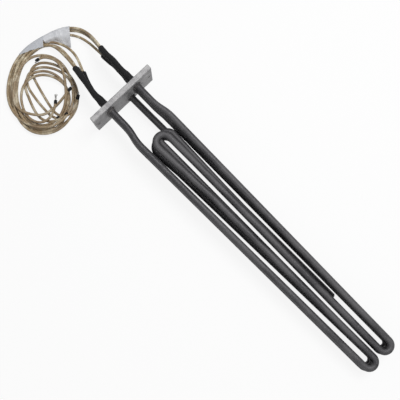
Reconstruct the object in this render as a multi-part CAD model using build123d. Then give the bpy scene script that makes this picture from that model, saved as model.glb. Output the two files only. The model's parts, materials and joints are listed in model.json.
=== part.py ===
from build123d import *
import os
from math import cos, pi, radians, sin, sqrt, tan

# Three sheathed heating elements brazed side by side into one flange plate, each bent
# into four passes, with a straight sensor well under them. The wire side is at -Y.
# Millimetres. The origin is the middle of the plate's face on the element side, +Y runs
# along the elements, +Z is up. Left and right are as seen from the wire side.

# Flange plate
plate_width = 88.9
plate_height = 50.8
plate_thickness = 6.35
plate_edge_break = 0.5
bolt_spacing = 79.2
bolt_hole_d = 4.5

# Elements
sheath_d = 8.0
layer_pitch = 8.8
upper_layer_z = 12.5
column_spacing = 41.4
tail_out = 6.0
joggle_start = 31.5
joggle_end = 46.5
joggle_radius = 60.0
hole_gap = 0.1
braze_reach = 1.7
braze_height = 2.6
braze_edge = 0.3

# The legs of an element are straight, and given by their X at two places. An inner leg
# has a third between them, its layer's waist, where it turns a little.
leg_near_y = 75.0
leg_far_y = 380.0
waist_radius = 150.0
# For each layer: X of the four legs, Y of the waist, and Y of the middle of each bend
element_legs = {
    "upper": {
        "outer_left": (-24.55, -23.45),
        "inner_left": (-6.6, -7.6, -8.5),
        "inner_right": (11.0, 6.9, 2.9),
        "outer_right": (24.1, 17.7),
        "waist": 150.0,
        "bends": (406.9, 68.2, 407.5),
    },
    "middle": {
        "outer_left": (-23.4, -23.6),
        "inner_left": (-12.8, -11.0, -8.4),
        "inner_right": (4.3, 3.8, 2.3),
        "outer_right": (24.0, 18.6),
        "waist": 150.0,
        "bends": (407.4, 68.0, 407.5),
    },
    "lower": {
        "outer_left": (-22.0, -23.4),
        "inner_left": (-8.1, -8.6, -9.0),
        "inner_right": (15.6, 13.0, 3.2),
        "outer_right": (24.4, 18.25),
        "waist": 105.0,
        "bends": (407.1, 71.5, 407.8),
    },
}

# Sensor well
well_d = 8.0
well_bore_d = 6.4
well_mouth_x = -9.8
well_tip_x = -15.1
well_tip_y = 334.5
well_gap = 0.5
well_end_wall = 4.0
well_end_round = 1.5

# Cold ends of the elements
seal_d = 7.0
seal_length = 3.0
pin_d = 2.4
pin_out = 4.2
crimp_d = 4.4
crimp_overlap = 3.0
crimp_length = 6.5
crimp_wall = 0.7

# Insulating sleeves over the cold ends
sleeve_d = 6.8
sleeve_wall = 0.7
boot_wall = 0.3
boot_play = 0.05
boot_over = 2.7
boot_taper = 6.9

# Leads
lead_d = 3.2
lead_spacing = 3.5
arc_share = 0.45

# The coil of spare lead: an oval ring as seen from above, lying on the ground
coil_x = 61.8
coil_y = -77.5
coil_outer_x = 43.2
coil_outer_y = 42.0
coil_hole_x = 65.0
coil_hole_y = -79.0
coil_hole_semi_x = 26.0
coil_hole_semi_y = 25.0
coil_height = 9.6
coil_round = 3.0
bundle_x = 32.0
bundle_y = -127.2
bundle_heading = -10.0
bundle_bend = 58.0
bundle_turn = 58.0
bundle_run = 10.0
ground_gap = 0.1

# Tape round the bundle and the label on the left leads
tape_thickness = 0.5
tape_play = 0.1
tape_turn = 19.0
label_thickness = 0.4
tip_d = 1.9
tip_length = 8.0

base_up = (Align.CENTER, Align.CENTER, Align.MIN)
sheath_r = sheath_d / 2
lead_r = lead_d / 2
sleeve_bore_r = sleeve_d / 2 - sleeve_wall
layer_z = {
    "upper": upper_layer_z,
    "middle": upper_layer_z - layer_pitch,
    "lower": upper_layer_z - 2 * layer_pitch,
}
side_x = {"left": -column_spacing / 2, "right": column_spacing / 2}
tail_y = -plate_thickness - tail_out
well_z = layer_z["lower"] - sheath_r - well_gap - well_d / 2

# The assembly rests on the plate's lower front edge and on the lowest far bends
ground_touch_y = element_legs["lower"]["bends"][2]
ground_slope = (plate_height / 2 + layer_z["lower"] - sheath_r) / ground_touch_y
ground = Plane(
    origin=(0, 0, -plate_height / 2),
    x_dir=(1, 0, 0),
    z_dir=(0, -ground_slope, 1),
)


def above_ground(x, y, height):
    """A place on the ground, and a height above it."""
    return ground.from_local_coords(Vector(x, y, height))


def rod(path, radius):
    """A round bar along a path."""
    return sweep(Plane(origin=path @ 0, z_dir=path % 0) * Circle(radius), path=path)


def leg_corners(legs, name):
    """X and Y of the places that fix a leg."""
    waist = [legs["waist"]] if len(legs[name]) == 3 else []
    return list(zip(legs[name], [leg_near_y] + waist + [leg_far_y]))


def leg_line(corners, y):
    """X at Y on a leg's first or last run, and that run's slope."""
    first, last = (corners[0], corners[1]), (corners[-2], corners[-1])
    (start_x, start_y), (end_x, end_y) = first if y < corners[1][1] else last
    slope = (end_x - start_x) / (end_y - start_y)
    return start_x + slope * (y - start_y), slope


def hairpin(left_leg, right_leg, middle_y, towards):
    """First foot, crown and last foot of the bend that is tangent to two legs."""
    (left_x, left_slope), (right_x, right_slope) = (
        leg_line(leg, middle_y) for leg in (left_leg, right_leg)
    )
    slopes = [left_slope, right_slope]
    cosines = [1 / sqrt(1 + slope**2) for slope in slopes]
    middle_x = (left_x * cosines[0] + right_x * cosines[1]) / sum(cosines)
    radius = (middle_x - left_x) * cosines[0]
    middle = Vector(middle_x, middle_y)
    feet = [
        middle + Vector(side, -side * slope) * cosine * radius
        for side, slope, cosine in zip((-1, 1), slopes, cosines)
    ]
    return feet[0], middle + Vector(0, towards * radius), feet[1]


def joggle(x, leg, foot):
    """Centre line from the tail behind the plate to the foot of the far bend."""
    return [
        (x, tail_y),
        (x, joggle_start),
        (leg_line(leg, joggle_end)[0], joggle_end),
        (foot.X, foot.Y),
    ]


def element_path(legs):
    outer_left, inner_left, inner_right, outer_right = (
        leg_corners(legs, name) for name in ("outer_left", "inner_left", "inner_right", "outer_right")
    )
    first_y, near_y, last_y = legs["bends"]
    first = hairpin(outer_left, inner_left, first_y, 1)
    near = hairpin(inner_left, inner_right, near_y, -1)
    last = hairpin(inner_right, outer_right, last_y, 1)
    start = joggle(side_x["left"], outer_left, first[0])
    end = joggle(side_x["right"], outer_right, last[2])
    return [
        FilletPolyline(*start, radius=joggle_radius),
        ThreePointArc(*first),
        FilletPolyline(first[2], inner_left[1], near[0], radius=waist_radius),
        ThreePointArc(*near),
        FilletPolyline(near[2], inner_right[1], last[0], radius=waist_radius),
        ThreePointArc(*last),
        FilletPolyline(*reversed(end), radius=joggle_radius),
    ]


def element(layer):
    path = Wire([edge for piece in element_path(element_legs[layer]) for edge in piece.edges()])
    return Pos(0, 0, layer_z[layer]) * rod(path, sheath_r)


well_start = Vector(
    well_mouth_x - (well_tip_x - well_mouth_x) * plate_thickness / well_tip_y,
    -plate_thickness,
    well_z,
)
well_end = Vector(well_tip_x, well_tip_y, well_z)
well_length = (well_end - well_start).length
well_axis = Plane(origin=well_start, z_dir=well_end - well_start)


def column_holes(radius, y_from, y_to):
    """Cylinders along Y at all six places where a sheath passes the plate."""
    return [
        Plane(origin=(x, y_from, z), z_dir=(0, 1, 0))
        * Cylinder(radius, y_to - y_from, align=base_up)
        for x in side_x.values()
        for z in layer_z.values()
    ]


def flange_plate():
    plate = Pos(0, -plate_thickness / 2, 0) * Box(plate_width, plate_thickness, plate_height)
    plate = chamfer(plate.edges(), plate_edge_break)
    plate -= column_holes(sheath_r + hole_gap / 2, -2 * plate_thickness, plate_thickness)
    plate -= well_axis * Cylinder((well_d + hole_gap) / 2, 4 * plate_thickness)
    for x in (-bolt_spacing / 2, bolt_spacing / 2):
        plate -= Pos(x, -plate_thickness / 2, 0) * Rot(90, 0, 0) * Cylinder(bolt_hole_d / 2, plate_height)
    return plate


def braze_ring(tube_r):
    """A sloped collar that a tube passes, its foot on the plate."""
    return Cone(tube_r + braze_reach, tube_r + braze_edge, braze_height, align=base_up)


def braze_column(side):
    """The fillets of one column run into each other between the tubes."""
    plate_face = [Plane(origin=(side_x[side], 0, z), z_dir=(0, 1, 0)) for z in layer_z.values()]
    rings = [place * braze_ring(sheath_r) for place in plate_face]
    braze = rings[0] + rings[1] + rings[2]
    return braze - column_holes(sheath_r, -1, 2 * braze_height)


def braze_well():
    mouth = Plane(origin=(well_mouth_x, 0, well_z), z_dir=(0, 1, 0))
    return mouth * braze_ring(well_d / 2) - well_axis * Cylinder(well_d / 2, 8 * plate_thickness)


def well_tube():
    """A tube with a closed, rounded end."""
    tube = Cylinder(well_d / 2, well_length, align=base_up)
    tube = chamfer(tube.edges().group_by(Axis.Z)[-1], well_end_round)
    tube -= Cylinder(well_bore_d / 2, well_length - well_end_wall, align=base_up)
    return well_axis * tube


def cold_end(side, layer, y):
    """The plane across a sheath's cold end at Y, looking back along the lead."""
    return Plane(origin=(side_x[side], y, layer_z[layer]), z_dir=(0, -1, 0))


pin_end_y = tail_y - seal_length - pin_out
crimp_start_y = pin_end_y + crimp_overlap
lead_start_y = crimp_start_y - crimp_length


def end_seal(side, layer):
    seal = Cylinder(seal_d / 2, seal_length, align=base_up)
    seal = chamfer(seal.edges().group_by(Axis.Z)[-1], seal_length / 5)
    seal -= Cylinder(pin_d / 2, seal_length, align=base_up)
    return cold_end(side, layer, tail_y) * seal


def terminal_pin(side, layer):
    pin = Cylinder(pin_d / 2, tail_y - pin_end_y, align=base_up)
    return cold_end(side, layer, tail_y) * pin


def crimp(side, layer):
    """A splice barrel over the pin, pressed in at two places."""
    barrel = Cylinder(crimp_d / 2, crimp_length, align=base_up)
    barrel -= Cylinder(pin_d / 2, crimp_length - crimp_wall, align=base_up)
    for along in (0.3, 0.7):
        dent = Pos(0, crimp_d / 2 + crimp_wall, along * crimp_length) * Sphere(2 * crimp_wall)
        barrel -= dent
    return cold_end(side, layer, crimp_start_y) * barrel


# Each lead's route from its crimp: X, Y and Z as far as the sleeve's last bend, then
# X and Y on the ground and a height above it. The sleeve ends halfway between the two.
sleeve_routes = {
    ("left", "upper"): [(-22.0, -40.5, 10.2), (-21.0, -52.5, 6.8)],
    ("left", "middle"): [(-21.9, -40.5, 1.6), (-21.2, -52.5, -1.6)],
    ("left", "lower"): [(-21.3, -39.5, -7.0), (-20.3, -49.5, -10.2)],
    ("right", "upper"): [(18.6, -40.5, 10.2), (17.2, -53.0, 6.8)],
    ("right", "middle"): [(18.3, -41.0, 1.8), (16.6, -54.0, -1.4)],
    ("right", "lower"): [(18.0, -40.0, -7.2), (15.2, -50.0, -10.3)],
}
lead_routes = {
    ("left", "upper"): [
        (-25.3, -75.6, 22.5),
        (-26.4, -90.5, 14.0),
        (-24.0, -103.7, 8.0),
        (-17.2, -113.2, 6.2),
        (-8.0, -119.6, 5.8),
        (4.5, -124.5, 5.8),
    ],
    ("left", "middle"): [
        (-24.4, -75.4, 16.0),
        (-25.0, -89.7, 9.0),
        (-22.3, -102.8, 4.2),
        (-15.3, -112.1, 2.6),
        (-6.0, -118.8, 2.3),
        (6.0, -124.1, 2.3),
    ],
    ("left", "lower"): [
        (-20.0, -70.5, 12.0),
        (-19.8, -83.7, 7.5),
        (-17.8, -96.3, 4.0),
        (-12.0, -108.1, 2.5),
        (-2.0, -115.6, 4.0),
        (9.5, -121.3, 5.4),
    ],
    ("right", "upper"): [
        (13.4, -76.2, 23.2),
        (12.4, -90.4, 15.0),
        (12.2, -102.6, 9.8),
        (14.6, -113.2, 7.8),
    ],
    ("right", "middle"): [
        (11.0, -77.4, 14.2),
        (9.6, -90.6, 10.0),
        (9.2, -102.8, 6.2),
        (12.6, -113.0, 4.4),
    ],
    ("right", "lower"): [
        (5.6, -72.6, 9.5),
        (1.9, -85.3, 5.5),
        (1.6, -96.9, 3.4),
        (4.6, -107.4, 3.2),
        (11.5, -117.9, 2.9),
    ],
}
sleeve_straight = 7.0
# Where each lead enters the bundle: column from the outside in, row from the ground up
bundle_places = {
    ("left", "upper"): (-1, 1),
    ("left", "middle"): (-1, 0),
    ("left", "lower"): (0, 1),
    ("right", "upper"): (1, 1),
    ("right", "middle"): (1, 0),
    ("right", "lower"): (0, 0),
}
bundle_row_height = 2.3
bundle_along = Vector(cos(radians(bundle_heading)), sin(radians(bundle_heading)))
bundle_inwards = bundle_along.rotate(Axis.Z, 90)
bundle_mid_height = bundle_row_height + lead_spacing / 2


def route(key):
    """All points of a lead's centre line, from its crimp to the coil's bundle."""
    side, layer = key
    column, row = bundle_places[key]
    end = Vector(bundle_x, bundle_y) + bundle_inwards * (column * lead_spacing)
    before = end - bundle_along * bundle_run
    height = bundle_row_height + row * lead_spacing
    start = Vector(side_x[side], lead_start_y, layer_z[layer])
    bend = start - Vector(0, sleeve_straight)
    on_ground = lead_routes[key] + [(before.X, before.Y, height), (end.X, end.Y, height)]
    covered = [start, bend] + [Vector(*p) for p in sleeve_routes[key]]
    return covered + [above_ground(*p) for p in on_ground]


def corner_radii(points):
    """The largest arcs that the runs leave room for."""
    radii = []
    for before, corner, after in zip(points, points[1:], points[2:]):
        turn = (corner - before).get_angle(after - corner)
        run = min((corner - before).length, (after - corner).length)
        radii.append(arc_share * run / tan(radians(turn) / 2))
    return radii


def sleeve_path(key):
    """The lead's own line, as far as the sleeve covers it."""
    points = route(key)
    covered = len(sleeve_routes[key]) + 2
    end = points[covered - 1] + (points[covered] - points[covered - 1]) / 2
    radii = corner_radii(points)[: covered - 1]
    return FilletPolyline(*points[:covered], end, radius=radii)


def sleeve(key):
    side, layer = key
    boot_r = sheath_r + boot_play
    boot_end = tail_out + boot_over
    taper_end = boot_end + boot_taper
    neck_end = -plate_thickness - lead_start_y
    outline = [
        (boot_r, 0),
        (boot_r + boot_wall, 0),
        (boot_r + boot_wall, boot_end),
        (sleeve_d / 2, taper_end),
        (sleeve_d / 2, neck_end),
        (sleeve_bore_r, neck_end),
        (sleeve_bore_r, taper_end),
        (boot_r, boot_end),
    ]
    boot = revolve(Plane.XZ * make_face(Polyline(*outline, close=True)), axis=Axis.Z)
    path = sleeve_path(key)
    section = Plane(origin=path @ 0, z_dir=path % 0) * (Circle(sleeve_d / 2) - Circle(sleeve_bore_r))
    return cold_end(side, layer, -plate_thickness) * boot + sweep(section, path=path)


def lead(key):
    points = route(key)
    radii = corner_radii(points)
    path = FilletPolyline(*points, radius=radii)
    tube = rod(path, lead_r)
    share = tube.volume / (pi * lead_r**2 * path.length)
    print(f"lead_{key[0]}_{key[1]}: length {path.length:.1f}, volume share {share:.4f},")
    print("  radii", [round(r, 1) for r in radii])
    return tube


def bundle_path(turn):
    """The bundle's middle line, from the face that the leads meet into the ring."""
    arc = JernArc((bundle_x, bundle_y), bundle_along, bundle_bend, turn)
    return ground * Pos(0, 0, bundle_mid_height) * arc


def bundle_section(width, height, path):
    place = Plane(origin=path @ 0, x_dir=ground.z_dir, z_dir=path % 0)
    return place * RectangleRounded(height, width, lead_r)


bundle_width = 2 * lead_spacing + lead_d
bundle_height = lead_spacing + lead_d


def loose_strands():
    """Turns of lead that have slipped across the open middle of the coil."""
    low = lead_r + ground_gap
    high = low + lead_d
    strands = [
        ((58, -106), (60.5, -80), (70, -52), low),
        ((66.5, -107), (67.5, -82), (77, -53), low),
        ((70.5, -106), (74, -84), (88, -62), low),
        ((94, -73), (68, -60.5), (33, -61), high),
    ]
    return [
        ground * Pos(0, 0, height) * rod(ThreePointArc(first, middle, last), lead_r)
        for first, middle, last, height in strands
    ]


def lead_coil():
    ring = Pos(coil_x, coil_y, ground_gap) * extrude(Ellipse(coil_outer_x, coil_outer_y), coil_height)
    ring -= Pos(coil_hole_x, coil_hole_y) * extrude(
        Ellipse(coil_hole_semi_x, coil_hole_semi_y), 2 * coil_height
    )
    ring = chamfer(ring.edges().filter_by(GeomType.LINE, reverse=True), coil_round)
    path = bundle_path(bundle_turn)
    coil = ground * ring + sweep(bundle_section(bundle_width, bundle_height, path), path=path)
    for strand in loose_strands():
        coil += strand
    return coil


def bundle_tape():
    path = bundle_path(tape_turn)
    bore = tape_play * 2
    wrap = bore + 2 * tape_thickness
    section = bundle_section(bundle_width + wrap, bundle_height + wrap, path)
    section -= bundle_section(bundle_width + bore, bundle_height + bore, path)
    return sweep(section, path=path)


def label():
    """A label folded round the outer leads, its flap lying over to the inside."""
    path = ground * ThreePointArc((-15.5, -114.4), (-6.5, -120.3), (4.0, -124.3))
    profile = [(-2.3, 1.6), (-2.2, 6.4), (-1.2, 8.0), (1.6, 8.0), (7.7, 7.3), (10.1, 0.8), (17.0, 0.2)]
    strip = make_face(offset(Polyline(*profile), label_thickness, side=Side.LEFT))
    place = Plane(origin=path @ 0, x_dir=ground.z_dir.cross(path % 0), z_dir=path % 0)
    return sweep(place * strip, path=path)


# Middle of each bare wire end on the coil: X, Y and heading
tip_places = [(57, -50, 50), (34, -52, 45), (42, -108, 130), (66, -42, 20), (57, -41, 5), (33, -61, 40)]


def lead_tips():
    """Stripped, tinned wire ends that lie on the coil."""
    height = ground_gap + coil_height + tip_d / 2
    tips = [
        ground * Pos(x, y, height) * Rot(0, 0, heading) * Rot(0, 90, 0) * Cylinder(tip_d / 2, tip_length)
        for x, y, heading in tip_places
    ]
    return Compound(children=tips)


def main():
    os.makedirs("parts", exist_ok=True)
    parts = {
        "flange_plate": flange_plate(),
        "braze_well": braze_well(),
        "well_tube": well_tube(),
        "lead_coil": lead_coil(),
        "lead_tips": lead_tips(),
        "bundle_tape": bundle_tape(),
        "label_flag": label(),
    }
    for layer in layer_z:
        parts[f"element_{layer}"] = element(layer)
    for side in side_x:
        parts[f"braze_{side}"] = braze_column(side)
        for layer in layer_z:
            place = f"{side}_{layer}"
            parts[f"end_seal_{place}"] = end_seal(side, layer)
            parts[f"terminal_pin_{place}"] = terminal_pin(side, layer)
            parts[f"crimp_{place}"] = crimp(side, layer)
            parts[f"sleeve_{place}"] = sleeve((side, layer))
            parts[f"lead_{place}"] = lead((side, layer))
    for name, part in parts.items():
        export_step(part, f"parts/{name}.step")


main()
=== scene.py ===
import json
import math
import bpy
import bmesh
from mathutils import Matrix, Vector, noise

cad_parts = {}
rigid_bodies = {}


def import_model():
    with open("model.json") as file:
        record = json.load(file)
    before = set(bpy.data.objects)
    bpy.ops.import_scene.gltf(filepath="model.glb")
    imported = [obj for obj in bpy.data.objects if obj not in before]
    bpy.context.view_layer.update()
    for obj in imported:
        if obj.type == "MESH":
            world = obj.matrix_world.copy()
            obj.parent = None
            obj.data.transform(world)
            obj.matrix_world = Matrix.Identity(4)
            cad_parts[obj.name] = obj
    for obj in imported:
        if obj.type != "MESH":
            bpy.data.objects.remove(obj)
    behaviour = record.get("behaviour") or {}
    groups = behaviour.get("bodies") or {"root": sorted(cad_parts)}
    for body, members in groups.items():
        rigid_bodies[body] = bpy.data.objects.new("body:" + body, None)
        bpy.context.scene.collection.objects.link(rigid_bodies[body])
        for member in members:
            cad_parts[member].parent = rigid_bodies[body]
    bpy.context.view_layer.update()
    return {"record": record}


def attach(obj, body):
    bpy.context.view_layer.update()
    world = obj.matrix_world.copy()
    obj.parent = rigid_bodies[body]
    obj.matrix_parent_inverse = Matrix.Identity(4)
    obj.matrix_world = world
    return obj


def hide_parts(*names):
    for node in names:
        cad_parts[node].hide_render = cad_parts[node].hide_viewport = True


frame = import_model()
mm = 0.001

# the heater lies on the ground, which is tilted in this frame
ground = {"atPlate": -25.4, "slope": 0.038818}
groundTurn = Matrix.Rotation(math.atan(ground["slope"]), 4, "X")
groundUp = groundTurn.to_3x3() @ Vector((0, 0, 1))


def onGround(x, y, h):
    # x, y along the ground and a height above it, in millimetres
    return groundTurn @ Vector((x, y, h)) * mm + Vector((0, 0, ground["atPlate"] * mm))


class Val:
    # a socket that takes part in sums
    def __init__(self, tree, socket):
        self.tree, self.socket = tree, socket

    def calc(self, operation, *values):
        node = self.tree.nodes.new("ShaderNodeMath")
        node.operation = operation
        for slot, value in zip(node.inputs, values):
            plug(self.tree, slot, value)
        return Val(self.tree, node.outputs[0])

    def __add__(self, other): return self.calc("ADD", self, other)
    def __radd__(self, other): return self.calc("ADD", other, self)
    def __sub__(self, other): return self.calc("SUBTRACT", self, other)
    def __rsub__(self, other): return self.calc("SUBTRACT", other, self)
    def __mul__(self, other): return self.calc("MULTIPLY", self, other)
    def __rmul__(self, other): return self.calc("MULTIPLY", other, self)
    def __truediv__(self, other): return self.calc("DIVIDE", self, other)
    def __pow__(self, other): return self.calc("POWER", self, other)
    def sin(self): return self.calc("SINE", self)
    def cos(self): return self.calc("COSINE", self)
    def wrap(self): return self.calc("FRACT", self)
    def most(self, other): return self.calc("MAXIMUM", self, other)

    def fade(self, low, high, toLow=0.0, toHigh=1.0):
        node = self.tree.nodes.new("ShaderNodeMapRange")
        node.interpolation_type = "SMOOTHSTEP"
        for slot, value in zip(node.inputs, (self, low, high, toLow, toHigh)):
            plug(self.tree, slot, value)
        return Val(self.tree, node.outputs[0])

    def scaled(self, by):
        # a vector times a number
        node = self.tree.nodes.new("ShaderNodeVectorMath")
        node.operation = "SCALE"
        plug(self.tree, node.inputs[0], self)
        plug(self.tree, node.inputs["Scale"], by)
        return Val(self.tree, node.outputs[0])


def plug(tree, slot, value):
    if value is None:
        return
    if isinstance(value, Val):
        tree.links.new(value.socket, slot)
    elif isinstance(value, (tuple, list)) and len(value) == 3 and slot.type == "RGBA":
        slot.default_value = (*value, 1)
    else:
        slot.default_value = value


class Nodes:
    # any other node comes from here: its type, its settings, then its inputs by name
    def node(self, kind, settings=None, out=0, **inputs):
        node = self.tree.nodes.new(kind)
        for key, value in (settings or {}).items():
            setattr(node, key, value)
        for key, value in inputs.items():
            slot = next(s for s in node.inputs if s.name == key.replace("_", " ") and s.enabled)
            plug(self.tree, slot, value)
        return Val(self.tree, node.outputs[out])


class Finish(Nodes):
    def __init__(self, name):
        self.material = bpy.data.materials.new(name)
        self.material.use_nodes = True
        self.tree = self.material.node_tree
        self.shader = self.tree.nodes["Principled BSDF"]

    def place(self, scale=(1, 1, 1), turn=(0, 0, 0)):
        where = self.node("ShaderNodeTexCoord", out="Object")
        return self.node("ShaderNodeMapping", Vector=where, Scale=scale, Rotation=turn)

    def noise(self, where, scale, detail=3.0, rough=0.5):
        return self.node("ShaderNodeTexNoise", Vector=where, Scale=scale, Detail=detail, Roughness=rough)

    def mix(self, share, a, b):
        node = self.tree.nodes.new("ShaderNodeMix")
        node.data_type = "RGBA"
        for slot, value in zip((node.inputs[0], node.inputs[6], node.inputs[7]), (share, a, b)):
            plug(self.tree, slot, value)
        return Val(self.tree, node.outputs[2])

    def bump(self, height, distance, strength=1.0, under=None):
        return self.node("ShaderNodeBump", Height=height, Distance=distance, Strength=strength, Normal=under)

    def set(self, **sockets):
        for key, value in sockets.items():
            plug(self.tree, self.shader.inputs[key.replace("_", " ")], value)
        return self.material


def sheathSteel():
    # heat-darkened alloy: cloudy neutral grey with fine specks and marks along the rod
    look = {"dark": (0.030, 0.029, 0.032), "mid": (0.092, 0.090, 0.094), "speck": (0.20, 0.20, 0.205),
            "streak": (0.018, 0.017, 0.019), "rough": (0.46, 0.66)}
    f = Finish("sheathSteel")
    cloud = f.noise(f.place((1, 0.3, 1)), 62, 5, 0.65)
    streak = f.noise(f.place((1, 0.05, 1)), 1100, 3, 0.6)
    speck = f.noise(f.place(), 1300, 3, 0.62)
    base = f.mix(cloud.fade(0.34, 0.66), look["dark"], look["mid"])
    base = f.mix(speck.fade(0.53, 0.70) * 0.55, base, look["speck"])
    base = f.mix(streak.fade(0.60, 0.75) * 0.35, base, look["streak"])
    rough = cloud.fade(0.3, 0.7, *look["rough"]) + streak * 0.05
    normal = f.bump(streak * 0.5 + speck, 0.00007, 0.6)
    return f.set(Base_Color=base, Metallic=0.55, Roughness=rough, Normal=normal)


def plateSteel():
    # rolled plate: faint grain, mottled dull patches, stains and small pits, and painted shade round the
    # tubes
    look = {"light": (0.46, 0.455, 0.455), "dull": (0.22, 0.215, 0.22), "grain": (0.13, 0.13, 0.135),
            "stain": (0.10, 0.09, 0.095), "root": (0.045, 0.038, 0.045)}
    rootShade = {"x": 0.0207, "z": 0.002, "tall": 0.18, "ragged": 0.012, "inner": 0.006, "outer": 0.017}
    f = Finish("plateSteel")
    grain = f.noise(f.place((0.05, 1, 1)), 1300, 3, 0.6)
    cloud = f.noise(f.place(), 75, 5, 0.66)
    pits = f.node("ShaderNodeTexVoronoi", {"feature": "F1"}, Vector=f.place(), Scale=850).fade(0.05, 0.22)
    stain = f.noise(f.place(), 40, 5, 0.68).fade(0.50, 0.70)
    base = f.mix(cloud.fade(0.36, 0.64), look["dull"], look["light"])
    base = f.mix(grain.fade(0.35, 0.75) * 0.4, base, look["grain"])
    base = f.mix(stain * 0.6, base, look["stain"])
    # painted shade round the roots of the two columns of tubes, on the face they stand out from
    where = f.node("ShaderNodeTexCoord", out="Object")
    split = f.tree.nodes.new("ShaderNodeSeparateXYZ")
    f.tree.links.new(where.socket, split.inputs[0])
    x, y, z = (Val(f.tree, s) for s in split.outputs)
    aside, up = (x * x) ** 0.5 - rootShade["x"], z - rootShade["z"]
    ragged = f.noise(f.place(), 190, 4, 0.6) * rootShade["ragged"]
    near = (aside * aside + up * up * rootShade["tall"]) ** 0.5 + ragged
    near = near.fade(rootShade["inner"], rootShade["outer"], 1, 0)
    # the root colour is painted shade, darkest where the tubes meet the plate
    base = f.mix(near * y.fade(-0.002, 0.0) * 0.85, base, look["root"])
    rough = cloud.fade(0.3, 0.7, 0.42, 0.62) + grain * 0.08
    normal = f.bump(grain * 0.5 + pits * 0.5, 0.00009, 0.7)
    return f.set(Base_Color=base, Metallic=0.45, Roughness=rough, Normal=normal)


def brazeMetal():
    # a smooth fillet as dark as the tubes, a little lumpy
    f = Finish("brazeMetal")
    lumps = f.noise(f.place(), 380, 4, 0.6)
    burn = f.noise(f.place(), 150, 3, 0.6).fade(0.4, 0.65)
    base = f.mix(burn, (0.085, 0.080, 0.078), (0.030, 0.027, 0.030))
    base = f.mix(lumps.fade(0.62, 0.78) * 0.6, base, (0.18, 0.17, 0.16))
    rough = lumps.fade(0.3, 0.7, 0.42, 0.68)
    return f.set(Base_Color=base, Metallic=0.5, Roughness=rough, Normal=f.bump(lumps, 0.0004, 0.7))


def plainMetal(name, light, dark, rough):
    f = Finish(name)
    marks = f.noise(f.place((1, 0.2, 1)), 1800, 4, 0.6)
    base = f.mix(marks.fade(0.35, 0.7), dark, light)
    shine = marks.fade(0.3, 0.7, rough - 0.08, rough + 0.1)
    return f.set(Base_Color=base, Metallic=0.9, Roughness=shine, Normal=f.bump(marks, 0.00005, 0.5))


def sealCement():
    f = Finish("sealCement")
    grit = f.noise(f.place(), 2600, 4, 0.65)
    base = f.mix(grit.fade(0.4, 0.7), (0.50, 0.48, 0.43), (0.64, 0.62, 0.56))
    return f.set(Base_Color=base, Roughness=0.85, Normal=f.bump(grit, 0.0001, 0.7))


def braid(f, around, along):
    # two sets of yarns wound round a tube, over and under each other; u round it, v along it
    uv = f.node("ShaderNodeUVMap", {"uv_map": "wrap"})
    split = f.tree.nodes.new("ShaderNodeSeparateXYZ")
    f.tree.links.new(uv.socket, split.inputs[0])
    u, v = Val(f.tree, split.outputs[0]), Val(f.tree, split.outputs[1])
    left, right = u * around + v * along, u * around - v * along
    over = ((left * math.pi).sin() * (right * math.pi).sin()).fade(-0.25, 0.25)
    height = (left.wrap() * math.pi).sin() * over + (right.wrap() * math.pi).sin() * (1 - over)
    return height, v


def leadBraid():
    # varnished glass braid, golden tan, with painted shade in the gaps between yarns, pale worn ridges and
    # browned stretches
    look = {"gap": (0.10, 0.062, 0.030), "yarn": (0.46, 0.345, 0.195), "pale": (0.84, 0.76, 0.57),
            "dusk": (0.19, 0.115, 0.065), "olive": (0.27, 0.22, 0.115)}
    f = Finish("leadBraid")
    height, v = braid(f, 8, 950)
    patch = f.noise(f.place(), 90, 4, 0.62)
    fine = f.noise(f.place(), 2200, 3, 0.65)
    # painted shade: each yarn darkens from its top into the hollows beside it
    base = f.mix(height.fade(0.12, 0.68), look["gap"], look["yarn"])
    base = f.mix(patch.fade(0.47, 0.64) * 0.8, base, look["pale"])
    base = f.mix(f.noise(f.place(), 62, 3, 0.6).fade(0.50, 0.66) * 0.6, base, look["dusk"])
    base = f.mix(f.noise(f.place(), 120, 3, 0.6).fade(0.55, 0.68) * 0.6, base, look["olive"])
    base = f.mix(fine.fade(0.5, 0.75) * 0.35, base, look["gap"])
    # darker further along the lead, from 0.10 m to 0.30 m along it
    base = f.mix(v.fade(0.10, 0.30) * 0.30, base, look["dusk"])
    f.set(Coat_Weight=0.35, Coat_Roughness=0.30)
    normal = f.bump(height + fine * 0.25, 0.00020, 0.9)
    return f.set(Base_Color=base, Roughness=height.fade(0, 1, 0.66, 0.42), Normal=normal)


def sleeveBraid():
    # black coated braid: fine weave with painted shade in its hollows, grey where the coating is rubbed
    look = {"gap": (0.003, 0.003, 0.0035), "yarn": (0.010, 0.010, 0.011), "worn": (0.06, 0.06, 0.062)}
    f = Finish("sleeveBraid")
    height, _ = braid(f, 16, 800)
    wear = f.noise(f.place(), 260, 4, 0.7)
    lint = f.noise(f.place(), 2400, 2, 0.7)
    # painted shade: the weave darkens into the hollows between yarns
    base = f.mix(height.fade(0.2, 0.8), look["gap"], look["yarn"])
    base = f.mix(wear.fade(0.58, 0.75) * height * 0.5, base, look["worn"])
    base = f.mix(lint.fade(0.70, 0.82) * 0.4, base, (0.14, 0.14, 0.14))
    f.set(Specular_IOR_Level=0.22)
    normal = f.bump(height + wear * 0.4, 0.00022, 0.9)
    return f.set(Base_Color=base, Roughness=height.fade(0, 1, 0.85, 0.6), Normal=normal)


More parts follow.
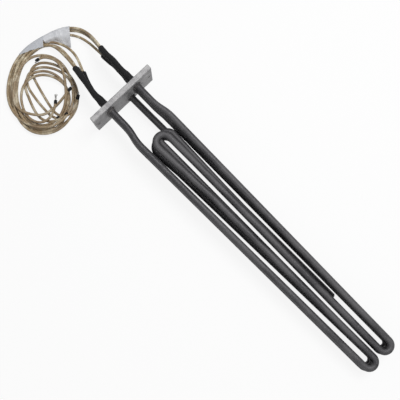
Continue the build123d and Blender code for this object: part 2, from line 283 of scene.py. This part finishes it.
def labelFilm(name, tone, alpha):
    # bare adhesive film, creased, with darker bluish-grey patches of painted shade, and a soft gloss
    f = Finish(name)
    crease = f.noise(f.place(), 120, 4, 0.6)
    filmShade = f.noise(f.place(), 75, 5, 0.68)
    # darker bluish-grey patches are painted shade
    base = f.mix(filmShade.fade(0.50, 0.72) * 0.6, tone, (0.40, 0.41, 0.44))
    base = f.mix(crease.fade(0.58, 0.72) * 0.4, base, (0.86, 0.87, 0.90))
    f.set(Coat_Weight=0.25, Coat_Roughness=0.25)
    rough = crease.fade(0.3, 0.7, 0.32, 0.55)
    return f.set(Base_Color=base, Roughness=rough, Alpha=alpha, Normal=f.bump(crease, 0.0009, 0.6))


def bareStrand():
    # tinned wires, bright and grey in turns
    f = Finish("bareStrand")
    marks = f.noise(f.place(), 1900, 3, 0.6)
    base = f.mix(marks.fade(0.38, 0.66), (0.14, 0.135, 0.13), (0.60, 0.59, 0.57))
    rough = marks.fade(0.3, 0.7, 0.28, 0.5)
    return f.set(Base_Color=base, Metallic=0.8, Roughness=rough, Normal=f.bump(marks, 0.00005, 0.5))


finish = {
    "sheath": sheathSteel(),
    "plate": plateSteel(),
    "braze": brazeMetal(),
    "seal": sealCement(),
    "pin": plainMetal("pinSteel", (0.55, 0.54, 0.52), (0.36, 0.35, 0.34), 0.35),
    "sleeve": sleeveBraid(),
    "lead": leadBraid(),
    "label": labelFilm("labelFilm", (0.66, 0.67, 0.70), 0.96),
    "film": labelFilm("wrapFilm", (0.60, 0.62, 0.66), 0.80),
    "tinned": bareStrand(),
}
slotOf = {row["node"]: row["material_slot"] for row in frame["record"]["subparts"]}
for name, slotName in slotOf.items():
    mesh = bpy.data.objects[name].data
    mesh.materials.clear()
    mesh.materials.append(finish[slotName])
print("finishes:", len(finish))


class Steps(Nodes):
    # a Geometry Nodes tree with one geometry in, one out, and named sizes
    def __init__(self, name, sizes):
        self.tree = bpy.data.node_groups.new(name, "GeometryNodeTree")
        sockets = self.tree.interface
        sockets.new_socket("Geometry", in_out="INPUT", socket_type="NodeSocketGeometry")
        self.ids = {}
        for label, value in sizes.items():
            kind = "Material" if value is None else "Int" if isinstance(value, int) else "Float"
            socket = sockets.new_socket(label, in_out="INPUT", socket_type="NodeSocket" + kind)
            if value is not None:
                socket.default_value = value
            self.ids[label] = socket.identifier
        sockets.new_socket("Geometry", in_out="OUTPUT", socket_type="NodeSocketGeometry")
        self.start = self.tree.nodes.new("NodeGroupInput")
        self.end = self.tree.nodes.new("NodeGroupOutput")

    def given(self, label):
        return Val(self.tree, self.start.outputs[label])

    def kept(self, geometry, value, kind="FLOAT"):
        # a value read here and carried on with the geometry
        node = self.tree.nodes.new("GeometryNodeCaptureAttribute")
        node.capture_items.new(kind, "kept")
        plug(self.tree, node.inputs[0], geometry)
        plug(self.tree, node.inputs[1], value)
        return Val(self.tree, node.outputs[0]), Val(self.tree, node.outputs[1])

    def vector(self, x, y, z):
        return self.node("ShaderNodeCombineXYZ", X=x, Y=y, Z=z)

    def finishWith(self, geometry):
        geometry = self.node("GeometryNodeSetShadeSmooth", Geometry=geometry)
        geometry = self.node("GeometryNodeRealizeInstances", Geometry=geometry)
        geometry = self.node("GeometryNodeSetMaterial", Geometry=geometry, Material=self.given("Material"))
        plug(self.tree, self.end.inputs[0], geometry)


def sleeveSteps():
    # a tube along a path: a wide boot, a taper, then the neck, its wall rippled; UV "wrap"
    sizes = {"Boot Radius": 0.00435, "Boot End": 0.0095, "Taper End": 0.0175, "Neck Radius": 0.0034,
             "Mouth Flare": 0.0011, "Mouth Length": 0.0045, "Ripple": 0.0007, "Ripple Scale": 150.0,
             "Step": 0.0008, "Sides": 24, "Material": None}
    s = Steps("sleeveOnPath", sizes)
    path = s.node("GeometryNodeMeshToCurve", Mesh=s.given("Geometry"))
    path = s.node("GeometryNodeResampleCurve", {"mode": "LENGTH"}, Curve=path, Length=s.given("Step"))
    path, along = s.kept(path, s.node("GeometryNodeSplineParameter", out=1))
    radius = along.fade(s.given("Boot End"), s.given("Taper End"), s.given("Boot Radius"),
                        s.given("Neck Radius"))
    radius = radius + along.fade(0.0, s.given("Mouth Length"), s.given("Mouth Flare"), 0)
    section = s.node("GeometryNodeCurveArc", Resolution=s.given("Sides") + 1, Radius=1.0,
                     Start_Angle=0.0, Sweep_Angle=2 * math.pi)
    section, around = s.kept(section, s.node("GeometryNodeSplineParameter"))
    tube = s.node("GeometryNodeCurveToMesh", Curve=path, Profile_Curve=section, Scale=radius,
                  Fill_Caps=False)
    tube = s.node("GeometryNodeStoreNamedAttribute", {"data_type": "FLOAT2", "domain": "CORNER"},
                  Geometry=tube, Name="wrap", Value=s.vector(around, along, 0.0))
    tube = s.node("GeometryNodeMergeByDistance", Geometry=tube, Distance=0.00002)
    lumps = s.node("ShaderNodeTexNoise", Vector=s.node("GeometryNodeInputPosition"),
                   Scale=s.given("Ripple Scale"), Detail=2.0)
    push = s.node("GeometryNodeInputNormal").scaled((lumps - 0.5) * s.given("Ripple"))
    s.finishWith(s.node("GeometryNodeSetPosition", Geometry=tube, Offset=push))
    return s


def wireSteps():
    # bare wires side by side along +Z, twisted a little and splayed towards their ends
    sizes = {"Count": 9, "Wire Radius": 0.00030, "Bunch Radius": 0.00072, "Length": 0.006,
             "Splay": 0.0009, "Twist": 0.9, "Seed": 1, "Material": None}
    goldenTurn = math.pi * (3 - 5 ** 0.5)
    s = Steps("bareWires", sizes)
    spots = s.node("GeometryNodePoints", Count=s.given("Count"))
    spots, number = s.kept(spots, s.node("GeometryNodeInputIndex"))
    rod = s.node("GeometryNodeCurvePrimitiveLine", Start=(0, 0, 0), End=(0, 0, 1))
    rod = s.node("GeometryNodeResampleCurve", Curve=rod, Count=7)
    rods = s.node("GeometryNodeInstanceOnPoints", Points=spots, Instance=rod)
    rods = s.node("GeometryNodeRealizeInstances", Geometry=rods)
    share = s.node("GeometryNodeSplineParameter")
    spread = s.node("FunctionNodeRandomValue", {"data_type": "FLOAT"}, out=1, Min=0.15, Max=1.0,
                    ID=number, Seed=s.given("Seed"))
    reach = s.node("FunctionNodeRandomValue", {"data_type": "FLOAT"}, out=1, Min=0.82, Max=1.0,
                   ID=number, Seed=s.given("Seed") + 7)
    turn = number * goldenTurn + share * s.given("Twist")
    out = ((number + 0.35) / s.given("Count")) ** 0.5 * s.given("Bunch Radius")
    out = out + share * share * spread * s.given("Splay")
    where = s.vector(turn.cos() * out, turn.sin() * out, share * reach * s.given("Length"))
    rods = s.node("GeometryNodeSetPosition", Geometry=rods, Position=where)
    section = s.node("GeometryNodeCurvePrimitiveCircle", Resolution=6, Radius=s.given("Wire Radius"))
    s.finishWith(s.node("GeometryNodeCurveToMesh", Curve=rods, Profile_Curve=section, Fill_Caps=True))
    return s


def madeBy(steps, name, mesh, wall=0.0, place=None, **sizes):
    # runs the tree on a mesh and keeps the plain result
    piece = bpy.data.objects.new(name, mesh)
    bpy.context.scene.collection.objects.link(piece)
    modifier = piece.modifiers.new("steps", "NODES")
    modifier.node_group = steps.tree
    for label, value in sizes.items():
        modifier[steps.ids[label.replace("_", " ")]] = value
    if wall:
        shell = piece.modifiers.new("wall", "SOLIDIFY")
        shell.thickness, shell.offset = wall, -1
    made = bpy.data.meshes.new_from_object(piece.evaluated_get(bpy.context.evaluated_depsgraph_get()))
    piece.modifiers.clear()
    piece.data = made
    if place:
        made.transform(place)
    made.name = name
    return piece


def lineMesh(name, line):
    mesh = bpy.data.meshes.new(name)
    mesh.from_pydata(line, [(i, i + 1) for i in range(len(line) - 1)], [])
    return mesh


def splineCurve(name, points):
    # one open NURBS spline through the route's points
    data = bpy.data.curves.new(name, "CURVE")
    data.dimensions = "3D"
    data.resolution_u = 8
    spline = data.splines.new("NURBS")
    spline.points.add(len(points) - 1)
    for point, place in zip(spline.points, points):
        point.co = (*place, 1)
    spline.order_u = 3
    spline.use_endpoint_u = True
    return bpy.data.objects.new(name, data)


def splinePoints(points):
    curve = splineCurve("routeOnly", points)
    bpy.context.scene.collection.objects.link(curve)
    graph = bpy.context.evaluated_depsgraph_get()
    mesh = bpy.data.meshes.new_from_object(curve.evaluated_get(graph))
    line = [v.co.copy() for v in mesh.vertices]
    bpy.data.objects.remove(curve)
    bpy.data.meshes.remove(mesh)
    return line


def newObject(name, mesh, material):
    piece = bpy.data.objects.new(name, mesh)
    bpy.context.scene.collection.objects.link(piece)
    mesh.materials.append(material)
    return piece


def tubeMesh(name, line, radius, sides):
    # a closed tube along a line; UV "wrap" has u round it and v along it in metres
    bm = bmesh.new()
    wrap = bm.loops.layers.uv.new("wrap")
    ahead = [(b - a).normalized() for a, b in zip(line, line[1:])]
    ahead.append(ahead[-1])
    side = ahead[0].orthogonal().normalized()
    rings, along, run = [], [], 0.0
    for i, (place, heading) in enumerate(zip(line, ahead)):
        mean = (heading + (ahead[i - 1] if i else heading)).normalized()
        side = (side - mean * side.dot(mean)).normalized()
        other = mean.cross(side)
        if i:
            run += (place - line[i - 1]).length
        ring = []
        for k in range(sides):
            turn = 2 * math.pi * k / sides
            r = radius(run, turn) if callable(radius) else radius
            ring.append(bm.verts.new(place + (side * math.cos(turn) + other * math.sin(turn)) * r))
        rings.append(ring)
        along.append(run)
    for i in range(len(rings) - 1):
        for k in range(sides):
            n = (k + 1) % sides
            face = bm.faces.new((rings[i][k], rings[i][n], rings[i + 1][n], rings[i + 1][k]))
            face.smooth = True
            spots = ((k, i), (k + 1, i), (k + 1, i + 1), (k, i + 1))
            for loop, (a, b) in zip(face.loops, spots):
                loop[wrap].uv = (a / sides, along[b])
    for ring, place, end in ((rings[0], line[0], 0), (rings[-1], line[-1], 1)):
        tip = bm.verts.new(place)
        for k in range(sides):
            n = (k + 1) % sides
            face = bm.faces.new((ring[n], ring[k], tip) if not end else (ring[k], ring[n], tip))
            for loop in face.loops:
                loop[wrap].uv = (k / sides, along[0] if not end else along[-1])
    bmesh.ops.recalc_face_normals(bm, faces=bm.faces)
    mesh = bpy.data.meshes.new(name)
    bm.to_mesh(mesh)
    bm.free()
    return mesh


# the free part of each lead, as in the part's source: x, y, z along the sleeve, then
# x, y, height on the ground
leadStart = {"x": 20.7, "y": -23.05, "straight": 7.0, "layers": {"upper": 12.5, "middle": 3.7, "lower": -5.1}}
sleeveRoute = {
    "left_upper": [(-22.0, -40.5, 10.2), (-21.0, -52.5, 6.8)],
    "left_middle": [(-21.9, -40.5, 1.6), (-21.2, -52.5, -1.6)],
    "left_lower": [(-21.3, -39.5, -7.0), (-20.3, -49.5, -10.2)],
    "right_upper": [(18.6, -40.5, 10.2), (17.2, -53.0, 6.8)],
    "right_middle": [(18.3, -41.0, 1.8), (16.6, -54.0, -1.4)],
    "right_lower": [(18.0, -40.0, -7.2), (15.2, -50.0, -10.3)],
}
leadRoute = {
    "left_upper": [
        (-25.3, -75.6, 22.5), (-26.4, -90.5, 14), (-24, -103.7, 8),
        (-17.2, -113.2, 6.2), (-8, -119.6, 5.8), (4.5, -124.5, 5.8),
    ],
    "left_middle": [
        (-24.4, -75.4, 16), (-25, -89.7, 9), (-22.3, -102.8, 4.2),
        (-15.3, -112.1, 2.6), (-6, -118.8, 2.3), (6, -124.1, 2.3),
    ],
    "left_lower": [
        (-20, -70.5, 12), (-19.8, -83.7, 7.5), (-17.8, -96.3, 4),
        (-12, -108.1, 2.5), (-2, -115.6, 4), (9.5, -121.3, 5.4),
    ],
    "right_upper": [
        (13.4, -76.2, 23.2), (12.4, -90.4, 15),
        (12.2, -102.6, 9.8), (14.6, -113.2, 7.8),
    ],
    "right_middle": [
        (11, -77.4, 14.2), (9.6, -90.6, 10),
        (9.2, -102.8, 6.2), (12.6, -113, 4.4),
    ],
    "right_lower": [
        (5.6, -72.6, 9.5), (1.9, -85.3, 5.5), (1.6, -96.9, 3.4),
        (4.6, -107.4, 3.2), (11.5, -117.9, 2.9),
    ],
}
bundle = {"x": 32.0, "y": -127.2, "heading": -10, "spacing": 3.5, "low": 2.3, "run": 10}
bundlePlace = {
    "left_upper": (-1, 1), "left_middle": (-1, 0), "left_lower": (0, 1),
    "right_upper": (1, 1), "right_middle": (1, 0), "right_lower": (0, 0),
}
# the coil: its middle on the ground and the turn of its own axes, u to the right and v
# down as it is seen from above; each station is u, v, heading and height
coil = {"x": 63.9, "y": -77.6, "turn": 136.4, "step": 11.5, "lead": 3.2}
coilStations = {
    "left_upper": [
        (-40.9, -4, 90, 5.2), (2, 39.5, 0, 8.3), (37.4, 3, -90, 8.2), (-1, -48.7, 180, 6.6),
        (-33.8, 3, 90, 8.5), (-1, 24.9, 0, 7.4), (13, 17.5, -38, 6.2), (34.2, -7.9, -50, 9.2),
    ],
    "left_middle": [
        (-38.2, -4, 90, 1.8), (2, 43.2, 0, 1.8), (43.3, 5, -90, 1.8), (0, -39.8, 180, 2.0),
        (-13.6, -30.5, 112, 2.0), (-10.5, -21.9, 64, 1.8), (10.7, 15.3, 58, 1.8), (24.9, 27.0, 5, 4.0),
        (39.5, 14, -72, 8.2), (43.2, 1.3, -88, 6.5),
    ],
    "left_lower": [
        (-35.3, -4, 90, 5.2), (2, 47.5, 0, 4.9), (40.4, 4, -90, 5.1), (0, -34.3, 180, 3.0),
        (-18.6, -22.5, 112, 1.8), (-9.5, 1.8, 55, 1.8), (4.6, 19.2, 48, 1.8), (14.5, 27.6, 20, 2.6),
        (20.8, 27.4, -50, 5.6),
    ],
    "right_upper": [
        (-31.5, -4, 90, 5.2), (1, 41.4, 0, 5.0), (31.5, 4, -90, 5.1), (-1, -29.4, 180, 5.1),
        (-20.9, -14.5, 92, 5.0), (-15.8, 2.9, 68, 3.2), (-5.2, 24.7, 52, 1.8), (5.5, 31.9, 15, 1.8),
        (17, 31.4, -22, 4.5), (30.5, 22.8, -48, 8.4),
    ],
    "right_middle": [
        (-30.3, -4, 90, 1.8), (1, 37.7, 0, 1.8), (28.5, 4, -90, 8.2), (5, -45.6, 180, 8.2),
        (-6.9, -41.5, 112, 8.0),
    ],
    "right_lower": [
        (-34.4, -4, 90, 1.8), (2, 45.6, 0, 1.8), (33.3, 4, -90, 1.8), (0, -24.6, 180, 8.2),
        (-24.9, -1, 90, 5.4), (-5, 33.6, 12, 5.2), (8.5, 29.4, -42, 5.4), (14.9, 17, -74, 8.6),
        (16.4, 7.5, -88, 7.2),
    ],
}
coilRight = Vector((math.cos(math.radians(coil["turn"])), math.sin(math.radians(coil["turn"]))))
coilDown = Vector((coilRight.y, -coilRight.x))


def coilPoint(u, v, h):
    # height shifts the place a little, because the coil was seen from one side
    place = Vector((coil["x"], coil["y"] + (h - 5) * 0.33)) + coilRight * u + coilDown * v
    return Vector((place.x, place.y, h))


def coilPoints(start, heading, stations):
    # smooth bends from one station to the next
    points, last = [], (Vector(start), Vector(heading))
    for u, v, turn, h in stations:
        place = coilPoint(u, v, h)
        towards = coilRight * math.cos(math.radians(turn)) + coilDown * math.sin(math.radians(turn))
        towards = Vector((towards.x, towards.y, 0))
        chord = (place - last[0]).length
        bend = max(0.17, last[1].angle(towards))
        reach = chord * 0.6667 * math.tan(bend / 4) / math.sin(bend / 2)
        a, b = last[0] + last[1] * reach, place - towards * reach
        count = max(2, round(chord * bend / 2 / math.sin(bend / 2) / coil["step"]))
        for i in range(1, count + 1):
            t = i / count
            s = 1 - t
            point = last[0] * s**3 + a * 3 * s * s * t + b * 3 * s * t * t + place * t**3
            point.z = last[0].z + (place.z - last[0].z) * t * t * (3 - 2 * t)
            points.append(point)
        last = (place, towards)
    return points, last[1]


def leadPoints(key):
    side, layer = key.split("_")
    x = leadStart["x"] * (-1 if side == "left" else 1)
    y, z = leadStart["y"], leadStart["layers"][layer]
    sleeved = [(x, y, z), (x, y - leadStart["straight"], z), *sleeveRoute[key]]
    points = [Vector(p) * mm for p in sleeved]
    points += [onGround(*p) for p in leadRoute[key]]
    turn = math.radians(bundle["heading"])
    ahead, inward = Vector((math.cos(turn), math.sin(turn))), Vector((-math.sin(turn), math.cos(turn)))
    column, row = bundlePlace[key]
    end = Vector((bundle["x"], bundle["y"])) + inward * column * bundle["spacing"]
    h = bundle["low"] + row * bundle["spacing"]
    before = end - ahead * bundle["run"]
    points += [onGround(before.x, before.y, h), onGround(end.x, end.y, h)]
    coiled, heading = coilPoints((end.x, end.y, h), (ahead.x, ahead.y, 0), coilStations[key])
    return points + [onGround(*p) for p in coiled], (groundTurn.to_3x3() @ heading).normalized()


def lineLength(line):
    return sum((b - a).length for a, b in zip(line, line[1:]))


def nearestAt(line, place):
    # how far along a line its nearest point to a place is
    run, best = 0.0, (1e9, 0.0)
    for a, b in zip(line, line[1:]):
        best = min(best, ((a - place).length, run))
        run += (b - a).length
    return best[1]


def linePart(line, start, end):
    # the points of a line between two distances along it
    run, part = 0.0, []
    for i, place in enumerate(line):
        run += (place - line[i - 1]).length if i else 0
        if start <= run <= end:
            part.append(place)
    return part


sleeve = {"mouthY": -6.35, "wall": 0.0006, "coverShare": 0.5}
ends = {
    # black shrink at each lead's end, then its bare wires, in millimetres
    "left_upper": {"band": 5.5, "bare": 3.0, "splay": 0.5},
    "left_middle": {"band": 6.5, "bare": 3.5, "splay": 0.9},
    "left_lower": {"band": 3.5, "bare": 4.5, "splay": 0.5},
    "right_upper": {"band": 5.0, "bare": 4.0, "splay": 0.6},
    "right_middle": {"band": 5.0, "bare": 2.5, "splay": 0.4},
    "right_lower": {"band": 4.5, "bare": 7.5, "splay": 1.5},
}
shrink = {"radius": 1.95, "lip": 0.7, "drawnIn": 0.35, "lumps": 0.05, "past": 0.8, "overWires": 0.5}


def bandShape(length):
    # shrink tube, a little three-sided, drawn in at both ends
    def radius(run, turn):
        inset = max(0, 1 - min(run, length - run) / (shrink["lip"] * mm))
        lump = 1 + shrink["lumps"] * math.sin(turn * 3 + run * 1500)
        return (shrink["radius"] * lump - shrink["drawnIn"] * inset) * mm
    return radius


sleeveTree, wireTree = sleeveSteps(), wireSteps()
leadLine = {}
for number, key in enumerate(leadRoute):
    points, heading = leadPoints(key)
    line = leadLine[key] = splinePoints(points)
    lead = newObject(f"lead-{key}", tubeMesh(f"lead-{key}", line, coil["lead"] / 2 * mm, 14), finish["lead"])

    end = ends[key]
    tail = linePart(line, lineLength(line) - end["band"] * mm, lineLength(line) + mm)
    tail.append(line[-1] + heading * shrink["past"] * mm)
    bandMesh = tubeMesh(f"band-{key}", tail, bandShape(lineLength(tail)), 16)
    band = newObject(f"band-{key}", bandMesh, finish["sleeve"])
    place = Matrix.Translation(tail[-1] - heading * shrink["overWires"] * mm)
    place = place @ heading.to_track_quat("Z", "Y").to_matrix().to_4x4()
    wires = madeBy(wireTree, f"wires-{key}", bpy.data.meshes.new("none"), place=place, Seed=11 + number,
                   Length=(end["bare"] + shrink["overWires"]) * mm, Splay=end["splay"] * mm,
                   Material=finish["tinned"])

    # the sleeve starts as a boot on the plate and ends halfway to the lead's next point
    cut = points[3].lerp(points[4], sleeve["coverShare"])
    covered = linePart(line, 0, nearestAt(line, cut))
    path = [Vector((covered[0].x, sleeve["mouthY"] * mm, covered[0].z)), *covered]
    cover = madeBy(sleeveTree, f"sleeve-{key}", lineMesh("path", path), wall=sleeve["wall"],
                   Material=finish["sleeve"])

    made = ((lead, "lead", (f"lead_{key}", "lead_coil")), (band, "sleeve", ("lead_tips",)),
            (wires, "tinned", ("lead_tips",)), (cover, "sleeve", (f"sleeve_{key}",)))
    for piece, slot, hides in made:
        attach(piece, "root")
        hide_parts(*hides)
    round(lineLength(line), 4)
    print("lead", key, round(lineLength(line) * 1000), "mm, sleeve", round(lineLength(path) * 1000), "mm")


def sheetMesh(name, line, film):
    # a film laid over the leads; each section is its (inward, rise) points in millimetres, from
    # the middle of the outermost lead; skew moves its inner edge along the lead
    sections = film["sections"]
    start, end = (nearestAt(line, onGround(*film[k], film["height"])) / mm for k in ("from", "to"))
    bm = bmesh.new()
    rows, grid = 26, []
    runs = [0.0]
    for a, b in zip(line, line[1:]):
        runs.append(runs[-1] + (b - a).length)

    def at(run):
        i = max(k for k in range(len(runs)) if runs[k] <= max(0, run))
        i = min(i, len(line) - 2)
        share = (run - runs[i]) / (runs[i + 1] - runs[i])
        return line[i].lerp(line[i + 1], share), (line[i + 1] - line[i]).normalized()

    for row in range(rows + 1):
        share = row / rows
        spot = share * (len(sections) - 1)
        k = min(int(spot), len(sections) - 2)
        part = spot - k
        part = part * part * (3 - 2 * part)
        ring = []
        for n, ((a, b), (c, d)) in enumerate(zip(sections[k], sections[k + 1])):
            inward, rise = a + (c - a) * part, b + (d - b) * part
            run = start + (end - start) * share + film["skew"] * (1 - share) * max(0, inward)
            place, ahead = at(run * mm)
            side = groundUp.cross(ahead).normalized()
            ring.append(bm.verts.new(place + side * inward * mm + groundUp * rise * mm))
        grid.append(ring)
    for a, b in zip(grid, grid[1:]):
        for n in range(len(a) - 1):
            bm.faces.new((a[n], b[n], b[n + 1], a[n + 1])).smooth = True
    bmesh.ops.subdivide_edges(bm, edges=bm.edges, cuts=2, use_grid_fill=True)
    inner = [v for v in bm.verts if not v.is_boundary]
    for _ in range(3):
        bmesh.ops.smooth_vert(bm, verts=inner, factor=0.4, use_axis_x=True, use_axis_y=True, use_axis_z=True)
    bm.normal_update()
    for v in bm.verts:
        fold = noise.noise(v.co * 260) + 0.5 * noise.noise(v.co * 620)
        v.co += v.normal * max(-0.2, fold) * film["crumple"] * mm
    for face in bm.faces:
        face.smooth = True
    mesh = bpy.data.meshes.new(name)
    bm.to_mesh(mesh)
    bm.free()
    return mesh


def layFilm(name, film, material, hides):
    piece = newObject(name, sheetMesh(name, leadLine["left_upper"], film), material)
    shell = piece.modifiers.new("wall", "SOLIDIFY")
    shell.thickness, shell.offset = film["thickness"], 1
    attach(piece, "root")
    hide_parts(hides)
    print(name, len(piece.data.vertices), "points")


# the label: stuck over the outer leads, its flap lying over to the inside; from and to are the
# places on the ground where it starts and ends along the outermost lead
label = {
    "from": (-16.5, -113.8), "to": (15.5, -127.6), "height": 5.8, "skew": 0, "crumple": 0.35,
    "thickness": 0.00016, "flat": (0.022, 0.036), "area": 0.00062,
    "sections": [
        [(-2.2, -1.2), (-1.9, 1.0), (-0.6, 2.0), (1.6, 2.0), (5.0, 0.9),
         (9.0, 0.4), (14.0, -1.6), (18.5, -3.6), (22.5, -5.0)],
        [(-2.2, -1.2), (-1.9, 1.0), (-0.6, 2.0), (1.6, 2.0), (4.2, 1.2),
         (7.2, 1.0), (11.0, -1.2), (15.0, -4.2), (19.0, -5.3)],
        [(-2.2, -1.2), (-1.9, 1.0), (-0.6, 2.0), (1.4, 2.0), (3.2, 1.9),
         (5.2, 1.8), (7.0, -0.4), (8.6, -4.0), (11.0, -5.3)],
        [(-2.2, -1.2), (-1.9, 1.0), (-0.6, 2.0), (1.2, 2.0), (2.6, 2.0),
         (4.0, 2.1), (5.2, 1.7), (6.0, 0.6), (6.6, -0.6)],
    ],
}
wrap = {
    "from": (14.5, -127.4), "to": (49.0, -131.4), "height": 5.8, "skew": 0.6, "crumple": 0.25,
    "thickness": 0.00010, "flat": (0.017, 0.036), "area": 0.00042,
    "sections": [
        [(-2.5, -4.4), (-2.3, -1.0), (-1.9, 1.2), (-0.6, 2.3), (1.6, 2.4),
         (4.0, 2.4), (6.4, 2.4), (8.8, 2.1), (10.4, 0.8)],
        [(-2.4, -4.6), (-2.3, -1.4), (-1.9, 1.1), (-0.6, 2.2), (1.4, 2.3),
         (3.2, 2.3), (5.0, 2.3), (6.6, 2.2), (8.2, 2.1)],
        [(-2.3, -4.8), (-2.2, -2.0), (-1.9, 1.0), (-0.8, 2.0), (0.6, 2.2),
         (1.8, 2.2), (2.9, 2.2), (3.8, 2.2), (4.8, 2.1)],
        [(-2.2, -4.8), (-2.2, -2.6), (-2.0, -0.4), (-1.7, 0.9), (-1.2, 1.6),
         (-0.6, 1.9), (-0.1, 2.0), (0.3, 2.0), (0.7, 1.95)],
    ],
}
layFilm("label-flag", label, finish["label"], "label_flag")
layFilm("wrap-film", wrap, finish["film"], "bundle_tape")

view = {"place": (0.068514, 0.154994, 0.689798), "turn": (3.57545938, -2.35717742, 135.6945561), "lens": 54}
cameraData = bpy.data.cameras.new("camera")
cameraData.lens = view["lens"]
cameraData.sensor_width = 36
camera = bpy.data.objects.new("camera", cameraData)
camera.location = view["place"]
camera.rotation_euler = [math.radians(a) for a in view["turn"]]
bpy.context.scene.collection.objects.link(camera)
bpy.context.scene.camera = camera

# the floor: white to the camera and in reflections, with a soft shadow left in it
floor = {"reach": 3000, "white": 0.88, "paint": 0.86, "bounce": 0.34}
sides = ((-1, -1), (1, -1), (1, 1), (-1, 1))
corners = [onGround(x * floor["reach"], y * floor["reach"], 0) for x, y in sides]
floorMesh = bpy.data.meshes.new("floor")
floorMesh.from_pydata(corners, [], [(0, 1, 2, 3)])
paint = Finish("floorPaint")


def seenDirectly(nodes):
    # 1 for what the camera sees itself, or sees mirrored or through something clear
    kinds = ("Camera", "Glossy", "Transmission")
    rays = [nodes.node("ShaderNodeLightPath", out=f"Is {kind} Ray") for kind in kinds]
    return rays[0].most(rays[1]).most(rays[2])


seen = seenDirectly(paint)
paint.set(Base_Color=paint.mix(seen, (floor["bounce"],) * 3, (floor["paint"],) * 3), Roughness=0.9)
glow = paint.node("ShaderNodeEmission", Color=(1, 1, 1), Strength=1.0)
blend = paint.tree.nodes.new("ShaderNodeMixShader")
plug(paint.tree, blend.inputs[0], seen * floor["white"])
plug(paint.tree, blend.inputs[1], Val(paint.tree, paint.shader.outputs[0]))
plug(paint.tree, blend.inputs[2], glow)
plug(paint.tree, paint.tree.nodes["Material Output"].inputs[0], Val(paint.tree, blend.outputs[0]))
newObject("floor", floorMesh, paint.material)

lamps = {
    "key": {"place": (-0.55, 0.10, 1.20), "size": 0.55, "power": 12.0},
    "fill": {"place": (0.60, 0.70, 1.0), "size": 1.2, "power": 1.6},
}
for name, lamp in lamps.items():
    data = bpy.data.lights.new(name, "AREA")
    data.energy = lamp["power"]
    data.size = lamp["size"]
    lampObject = bpy.data.objects.new(name, data)
    lampObject.location = lamp["place"]
    aim = Vector((0, 0.1, 0)) - Vector(lamp["place"])
    lampObject.rotation_euler = aim.to_track_quat("-Z", "Y").to_euler()
    bpy.context.scene.collection.objects.link(lampObject)

# the sky: pale to the camera, a low soft light to everything else
sky = {"light": 0.30, "pale": 0.96}
world = bpy.data.worlds.new("world")
bpy.context.scene.world = world
world.use_nodes = True
heaven = Nodes()
heaven.tree = world.node_tree
background = world.node_tree.nodes["Background"]
background.inputs[0].default_value = (1, 1, 1, 1)
plug(heaven.tree, background.inputs[1], seenDirectly(heaven) * (sky["pale"] - sky["light"]) + sky["light"])
bpy.context.scene.view_settings.view_transform = "Standard"
print("camera, floor and lamps")
